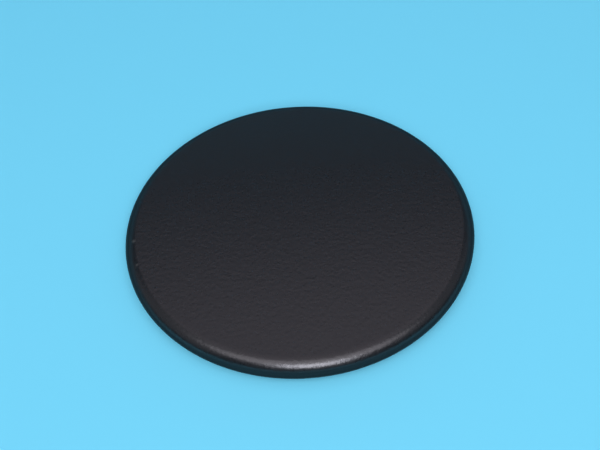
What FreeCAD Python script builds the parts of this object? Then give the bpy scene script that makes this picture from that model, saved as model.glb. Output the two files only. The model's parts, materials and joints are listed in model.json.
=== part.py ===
import FreeCAD, Part
import os

# Gas burner cap: a single enamelled steel disc, flat on top, with a full-round rim.
# Underneath, a flat land round a shallow recess sits on the burner head, and the
# recess wall centres the cap over the head's raised ring.
# Frame: +Z is the disc's axis, pointing out of the flat top, and the land lies at Z = 0.

# Outside
cap_diameter = 100.0
rim_height = 7.2

# Underside
recess_diameter = 80.0
recess_depth = 3.7
recess_mouth_radius = 0.8
recess_root_radius = 1.0

cap_radius = cap_diameter / 2
rim_radius = rim_height / 2
recess_radius = recess_diameter / 2


def section_point(from_axis, height):
    return FreeCAD.Vector(from_axis, 0, height)


def round_corner(start, centre, end):
    """Arc about centre, bulging along the line from centre to the middle of start and end."""
    outward = (start + end) * 0.5 - centre
    outward.normalize()
    middle = centre + outward * (start - centre).Length
    return Part.Arc(start, middle, end)


def cap_section():
    """Half section of the cap, from the axis out over the top and back along the underside."""
    top_centre = section_point(0, rim_height)
    top_edge = section_point(cap_radius - rim_radius, rim_height)
    rim_outermost = section_point(cap_radius, rim_radius)
    land_outer = section_point(cap_radius - rim_radius, 0)

    mouth_centre = section_point(recess_radius + recess_mouth_radius, recess_mouth_radius)
    land_inner = section_point(recess_radius + recess_mouth_radius, 0)
    wall_lower = section_point(recess_radius, recess_mouth_radius)

    root_height = recess_depth - recess_root_radius
    root_centre = section_point(recess_radius - recess_root_radius, root_height)
    wall_upper = section_point(recess_radius, root_height)
    floor_edge = section_point(recess_radius - recess_root_radius, recess_depth)
    floor_centre = section_point(0, recess_depth)

    outline = [
        Part.LineSegment(top_centre, top_edge),
        Part.Arc(top_edge, rim_outermost, land_outer),
        Part.LineSegment(land_outer, land_inner),
        round_corner(land_inner, mouth_centre, wall_lower),
        Part.LineSegment(wall_lower, wall_upper),
        round_corner(wall_upper, root_centre, floor_edge),
        Part.LineSegment(floor_edge, floor_centre),
        Part.LineSegment(floor_centre, top_centre),
    ]
    return Part.Face(Part.Wire([curve.toShape() for curve in outline]))


def burner_cap():
    axis_point = FreeCAD.Vector(0, 0, 0)
    axis_direction = FreeCAD.Vector(0, 0, 1)
    return cap_section().revolve(axis_point, axis_direction, 360)


cap = burner_cap()
os.makedirs("parts", exist_ok=True)
cap.exportStep("parts/burner_cap.step")
print("burner_cap: %d solid, %.0f mm3, valid %s" % (len(cap.Solids), cap.Volume, cap.isValid()))
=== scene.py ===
import json
import math

import bpy
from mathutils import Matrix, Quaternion, Vector


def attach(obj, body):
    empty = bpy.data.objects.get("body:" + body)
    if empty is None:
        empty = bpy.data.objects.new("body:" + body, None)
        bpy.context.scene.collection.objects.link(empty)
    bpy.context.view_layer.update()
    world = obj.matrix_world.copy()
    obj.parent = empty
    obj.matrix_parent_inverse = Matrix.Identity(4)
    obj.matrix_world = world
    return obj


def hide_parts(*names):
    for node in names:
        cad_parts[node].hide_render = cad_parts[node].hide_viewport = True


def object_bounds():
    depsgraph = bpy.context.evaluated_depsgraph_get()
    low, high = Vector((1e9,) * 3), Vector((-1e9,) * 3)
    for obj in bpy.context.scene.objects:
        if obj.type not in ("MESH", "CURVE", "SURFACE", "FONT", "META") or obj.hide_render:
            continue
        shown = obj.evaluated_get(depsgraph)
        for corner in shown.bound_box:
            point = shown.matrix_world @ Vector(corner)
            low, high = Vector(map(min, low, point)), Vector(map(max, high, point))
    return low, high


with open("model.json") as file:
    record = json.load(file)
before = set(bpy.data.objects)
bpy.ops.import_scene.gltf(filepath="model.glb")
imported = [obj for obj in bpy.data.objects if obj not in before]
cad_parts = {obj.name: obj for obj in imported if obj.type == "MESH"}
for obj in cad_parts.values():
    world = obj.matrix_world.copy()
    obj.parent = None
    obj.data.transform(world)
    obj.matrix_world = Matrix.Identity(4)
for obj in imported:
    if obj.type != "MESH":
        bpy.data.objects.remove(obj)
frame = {"nodes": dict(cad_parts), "record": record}
cadLow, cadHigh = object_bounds()
scene = bpy.context.scene
mm = 0.001
print("frame loaded:", ", ".join(frame["nodes"]))


def toLinear(hexColour):
    channels = [int(hexColour[i:i + 2], 16) / 255 for i in (1, 3, 5)]
    return [c / 12.92 if c <= 0.04045 else ((c + 0.055) / 1.055) ** 2.4 for c in channels] + [1.0]


def addNode(tree, nodeType, sockets=None, **settings):
    node = tree.nodes.new(nodeType)
    for name, value in settings.items():
        setattr(node, name, value)
    for name, value in (sockets or {}).items():  # a socket is linked, anything else is set
        if isinstance(value, bpy.types.NodeSocket):
            tree.links.new(value, node.inputs[name])
        else:
            node.inputs[name].default_value = value
    return node


def newMaterial(name):
    material = bpy.data.materials.new(name)
    material.use_nodes = True
    material.node_tree.nodes.clear()
    return material


# matt black vitreous enamel: glass fired on steel, so a near-black satin skin, whose faint
# orange peel and grain break up the highlight along the rim
enamel = {
    "black": "#08090c", "paler": "#0a0b0e",    # the skin drifts between these two
    "driftWidth": 14.0,                        # mm
    "roughness": 0.29, "roughnessDrift": 0.05,
    "specular": 0.5, "ior": 1.60,              # enamel glass
    "edgeOnStart": 0.29, "edgeOnFull": 0.52,   # 0 is face-on, 1 edge-on
    "edgeOnRoughness": 0.54, "edgeOnSpecular": 0.11,
    "dryStart": 5.4, "dryFull": 4.8,           # mm up, from here down the skin gets drier
    "drySpecular": 0.25,
    "peelWidth": 1.15, "peelHeight": 0.042,    # mm
    "grainWidth": 0.60, "grainHeight": 0.018,  # mm, coarser than the real grain, so that it shows
    "speckAndGlintColour": "#3a3c3a",                  # two pale grains fired in near the rim, and one painted glint on the rim highlight
    "specksAndGlint": {                                # place and width, mm
        (-46.83, -4.31, 7.14): 0.80,
        (-45.30, -13.01, 7.12): 0.55,
        # painted glint: a pale spot standing in for a sparkle in the highlight on the front rim
        (11.58, -47.29, 6.38): 0.50,
    },
}


def enamelColour(tree, place, drift):
    colour = addNode(tree, "ShaderNodeMix", {  # 6 and 7 are the two colours
        0: drift, 6: toLinear(enamel["black"]), 7: toLinear(enamel["paler"])},
        data_type="RGBA").outputs[2]
    # two pale grains and one painted glint, mixed onto the skin
    for centre, width in enamel["specksAndGlint"].items():
        away = addNode(tree, "ShaderNodeVectorMath", {
            0: place, 1: [c * mm for c in centre]}, operation="DISTANCE").outputs["Value"]
        inside = addNode(tree, "ShaderNodeMapRange", {  # fades out, half strength at its edge
            "Value": away, "From Min": 0.0, "From Max": width * mm,
            "To Min": 1.0, "To Max": 0.0}).outputs["Result"]
        colour = addNode(tree, "ShaderNodeMix", {
            0: inside, 6: colour, 7: toLinear(enamel["speckAndGlintColour"])}, data_type="RGBA").outputs[2]
    return colour


def enamelGloss(tree, place, grain):
    roughness = addNode(tree, "ShaderNodeMapRange", {
        "Value": grain,
        "To Min": enamel["roughness"] - enamel["roughnessDrift"],
        "To Max": enamel["roughness"] + enamel["roughnessDrift"]}).outputs["Result"]

    # the lower rim and the underside shine less than the top
    height = addNode(tree, "ShaderNodeSeparateXYZ", {"Vector": place}).outputs["Z"]
    dry = addNode(tree, "ShaderNodeMapRange", {
        "Value": height,
        "From Min": enamel["dryStart"] * mm, "From Max": enamel["dryFull"] * mm}).outputs["Result"]
    specular = addNode(tree, "ShaderNodeMix", {  # 2 and 3 are the two values
        0: dry, 2: enamel["specular"], 3: enamel["drySpecular"]}).outputs[0]

    # seen edge-on, the fine relief of a matt skin hides most of its gloss
    facing = addNode(tree, "ShaderNodeLayerWeight").outputs["Facing"]
    edgeOn = addNode(tree, "ShaderNodeMapRange", {
        "Value": facing,
        "From Min": enamel["edgeOnStart"], "From Max": enamel["edgeOnFull"]}).outputs["Result"]
    roughness = addNode(tree, "ShaderNodeMix", {
        0: edgeOn, 2: roughness, 3: enamel["edgeOnRoughness"]}).outputs[0]
    specular = addNode(tree, "ShaderNodeMix", {
        0: edgeOn, 2: specular, 3: enamel["edgeOnSpecular"]}).outputs[0]
    return roughness, specular


def enamelRelief(tree, peel, grain):
    peeled = addNode(tree, "ShaderNodeBump", {
        "Height": peel, "Distance": enamel["peelHeight"] * mm}).outputs["Normal"]
    return addNode(tree, "ShaderNodeBump", {
        "Height": grain, "Distance": enamel["grainHeight"] * mm, "Normal": peeled}).outputs["Normal"]


def makeEnamel():
    material = newMaterial("matt black vitreous enamel")
    tree = material.node_tree
    place = addNode(tree, "ShaderNodeTexCoord").outputs["Object"]
    waves = {}
    for name, detail in (("drift", 2), ("peel", 1), ("grain", 1)):
        waves[name] = addNode(tree, "ShaderNodeTexNoise", {
            "Vector": place, "Scale": 1 / (enamel[name + "Width"] * mm),
            "Detail": detail}).outputs["Fac"]

    roughness, specular = enamelGloss(tree, place, waves["grain"])
    skin = addNode(tree, "ShaderNodeBsdfPrincipled", {
        "Base Color": enamelColour(tree, place, waves["drift"]),
        "Roughness": roughness, "IOR": enamel["ior"], "Specular IOR Level": specular,
        "Normal": enamelRelief(tree, waves["peel"], waves["grain"])})
    addNode(tree, "ShaderNodeOutputMaterial", {"Surface": skin.outputs["BSDF"]})
    return material


# the cap: one steel disc, flat on top, with a full-round rim and a shallow recess underneath
recessMount = next(m for m in frame["record"]["mounts"] if m["name"] == "locating_recess")
cap = {
    "radius": cadHigh.x,
    "height": cadHigh.z,
    "recessRadius": recessMount["dims"]["r_mm"] * mm,
    "recessDepth": 3.7 * mm,
    "mouthRound": 0.8 * mm,
    "rootRound": 1.0 * mm,
    "roundSteps": 256,   # round the axis
    "rimSteps": 24,      # over each half of the rim
    "cornerSteps": 8,
    "flatRings": 16,     # across each flat face, so that it shades flat
    "edgeRing": 0.4 * mm,
}
near = 0.01 * mm         # closer than this is the same place
ringSlack = 0.1 * mm     # an inset ring is this true to its radius
weld = 0.001 * mm        # points closer than this are merged
straight = 0.999         # a flat face's normal points at least this much up or down


def selectEdges(piece, wanted):
    bpy.ops.object.mode_set(mode="EDIT")
    bpy.ops.mesh.select_mode(type="EDGE")
    bpy.ops.mesh.select_all(action="DESELECT")
    bpy.ops.object.mode_set(mode="OBJECT")
    points = piece.data.vertices
    for edge in piece.data.edges:
        edge.select = wanted(points[edge.vertices[0]].co, points[edge.vertices[1]].co)
    bpy.ops.object.mode_set(mode="EDIT")


def selectFlat(piece, height, facing):
    bpy.ops.object.mode_set(mode="EDIT")
    bpy.ops.mesh.select_mode(type="FACE")
    bpy.ops.mesh.select_all(action="DESELECT")
    bpy.ops.object.mode_set(mode="OBJECT")
    for face in piece.data.polygons:  # the one big flat face at this height
        flat = face.normal.z * facing > straight and abs(face.center.z - height) < near
        face.select = flat and face.center.xy.length < near
    bpy.ops.object.mode_set(mode="EDIT")


def ringFlat(piece, height, facing, radius):
    selectFlat(piece, height, facing)
    bpy.ops.mesh.inset(thickness=cap["edgeRing"])
    step = (radius - cap["edgeRing"]) / (cap["flatRings"] + 1)
    for ring in range(cap["flatRings"]):
        bpy.ops.mesh.inset(thickness=step)
    bpy.ops.mesh.poke()


def onRecessEdge(point, height):
    return abs(point.z - height) < near and abs(point.xy.length - cap["recessRadius"]) < ringSlack


def makeCap():
    bpy.ops.object.select_all(action="DESELECT")
    bpy.ops.mesh.primitive_cylinder_add(
        vertices=cap["roundSteps"], radius=cap["radius"], depth=cap["height"],
        location=(0, 0, cap["height"] / 2))
    piece = bpy.context.object
    piece.name = "enamel_cap"
    bpy.ops.object.transform_apply(location=True)
    rimRound = cap["height"] / 2
    flatRadius = cap["radius"] - rimRound

    # both edges rounded until they meet halfway, for a full-round rim
    selectEdges(piece, lambda a, b: abs(a.z - b.z) < near)
    bpy.ops.mesh.bevel(offset=rimRound, segments=cap["rimSteps"], affect="EDGES", clamp_overlap=False)
    bpy.ops.mesh.select_all(action="SELECT")
    bpy.ops.mesh.remove_doubles(threshold=weld)

    # recess sunk into the underside, leaving the land
    selectFlat(piece, 0, -1)
    bpy.ops.mesh.inset(thickness=flatRadius - cap["recessRadius"])
    bpy.ops.mesh.extrude_region_move(TRANSFORM_OT_translate={"value": (0, 0, cap["recessDepth"])})
    for height, roundness in ((0, cap["mouthRound"]), (cap["recessDepth"], cap["rootRound"])):
        selectEdges(piece, lambda a, b: onRecessEdge(a, height) and onRecessEdge(b, height))
        bpy.ops.mesh.bevel(offset=roundness, segments=cap["cornerSteps"], affect="EDGES")

    ringFlat(piece, cap["height"], 1, flatRadius)
    ringFlat(piece, cap["recessDepth"], -1, cap["recessRadius"] - cap["rootRound"])
    bpy.ops.mesh.select_all(action="SELECT")
    bpy.ops.mesh.normals_make_consistent(inside=False)
    bpy.ops.object.mode_set(mode="OBJECT")
    bpy.ops.object.shade_smooth()
    piece.data.materials.append(makeEnamel())

    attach(piece, "root")
    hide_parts("burner_cap")
    return piece


capPiece = makeCap()
print("cap modelled:", len(capPiece.data.polygons), "faces")

# floor: plain pale blue paper, swept up far behind the cap
floor = {
    "colour": "#6dc9df",
    "roughness": 0.9,
    "specular": 0.2,
    "halfWidth": 4.0,      # m
    "sweepStart": 0.60,    # m behind the cap
    "sweepHeight": 0.39,   # m
    "sweepRound": 0.30,    # m
    "sweepSteps": 16,
}


def makeFloor():
    bpy.ops.object.select_all(action="DESELECT")
    bpy.ops.mesh.primitive_plane_add(size=2 * floor["halfWidth"])
    piece = bpy.context.object
    piece.name = "paper_floor"
    for point in piece.data.vertices:
        if point.co.y > 0:
            point.co.y = floor["sweepStart"]
    selectEdges(piece, lambda a, b: a.y > 0 and b.y > 0)
    bpy.ops.mesh.extrude_region_move(TRANSFORM_OT_translate={"value": (0, 0, floor["sweepHeight"])})
    selectEdges(piece, lambda a, b: a.y > 0 and b.y > 0 and a.z < near and b.z < near)
    bpy.ops.mesh.bevel(offset=floor["sweepRound"], segments=floor["sweepSteps"], affect="EDGES")
    bpy.ops.object.mode_set(mode="OBJECT")
    bpy.ops.object.shade_smooth()

    material = newMaterial("pale blue paper")
    tree = material.node_tree
    paper = addNode(tree, "ShaderNodeBsdfPrincipled", {
        "Base Color": toLinear(floor["colour"]), "Roughness": floor["roughness"],
        "Specular IOR Level": floor["specular"]})
    addNode(tree, "ShaderNodeOutputMaterial", {"Surface": paper.outputs["BSDF"]})
    piece.data.materials.append(material)


makeFloor()
print("floor laid")


def placeAimed(name, data, place, aim, tilt):
    holder = bpy.data.objects.new(name, data)
    scene.collection.objects.link(holder)
    holder.location = place
    holder.rotation_mode = "QUATERNION"
    turn = Quaternion((0, 0, 1), math.radians(tilt))
    holder.rotation_quaternion = (Vector(aim) - Vector(place)).to_track_quat("-Z", "Y") @ turn
    return holder


# soft studio light: a softbox behind the camera, a strip above it, a panel overhead and dim side panels
lamps = {  # m, W and degrees
    "keyBox": {"place": (0.039, -1.024, 0.881), "aim": (0, 0, 0), "tilt": 0,
               "width": 0.66, "height": 0.58, "power": 13.9, "colour": "#f2f2ff"},
    "stripBox": {"place": (0, -0.578, 1.218), "aim": (0, 0, 0), "tilt": -5,
                 "width": 1.98, "height": 0.81, "power": 10.6, "colour": "#f9f3fd"},
    "topBox": {"place": (0, 0.36, 1.23), "aim": (0, 0.36, 0), "tilt": 0,
               "width": 1.06, "height": 1.20, "power": 3.1, "colour": "#fcf0fd"},
    "leftBox": {"place": (-1.05, -0.15, 0.95), "aim": (0, 0, 0), "tilt": 0,
                "width": 1.72, "height": 1.60, "power": 2.8, "colour": "#f4f3fd"},
    "rightBox": {"place": (1.02, -0.12, 1.02), "aim": (0, 0, 0), "tilt": 0,
                 "width": 1.80, "height": 1.40, "power": 2.35, "colour": "#f2f2ff"},
}
sky = {"colour": "#d0e4f8", "strength": 0.09}


def makeLamp(name, lamp):
    light = bpy.data.lights.new(name, "AREA")
    light.shape = "RECTANGLE"
    light.size = lamp["width"]
    light.size_y = lamp["height"]
    light.energy = lamp["power"]
    light.color = toLinear(lamp["colour"])[:3]
    placeAimed(name, light, lamp["place"], lamp["aim"], lamp["tilt"])


def makeSky():
    scene.world = bpy.data.worlds.new("studio")
    scene.world.use_nodes = True
    background = scene.world.node_tree.nodes["Background"]
    background.inputs["Color"].default_value = toLinear(sky["colour"])
    background.inputs["Strength"].default_value = sky["strength"]


for lampName, lampSettings in lamps.items():
    makeLamp(lampName, lampSettings)
makeSky()
print("lamps set")

# camera: down on the cap from the front, tipped a little to one side, as in the photo
view = {
    "aim": (0.36, 3.24, 0.0),   # mm
    "elevation": 48.98, "azimuth": -0.128, "roll": -4.245,  # degrees
    "distance": 243.1,          # mm
    "focal": 824.0, "imageWidth": 600.0,  # pixels
    "sensor": 36.0,             # mm
    "clipStart": 10.0,          # mm
}


def towards(azimuth, elevation):
    turn, rise = math.radians(azimuth), math.radians(elevation)
    return Vector((math.sin(turn) * math.cos(rise), -math.cos(turn) * math.cos(rise), math.sin(rise)))


def makeCamera():
    camera = bpy.data.cameras.new("photo_view")
    camera.sensor_width = view["sensor"]
    camera.lens = view["sensor"] * view["focal"] / view["imageWidth"]
    camera.clip_start = view["clipStart"] * mm
    aim = Vector(view["aim"]) * mm
    back = towards(view["azimuth"], view["elevation"]) * view["distance"] * mm
    scene.camera = placeAimed("photo_view", camera, aim + back, aim, view["roll"])


makeCamera()
scene.view_settings.view_transform = "Standard"
print("camera placed")
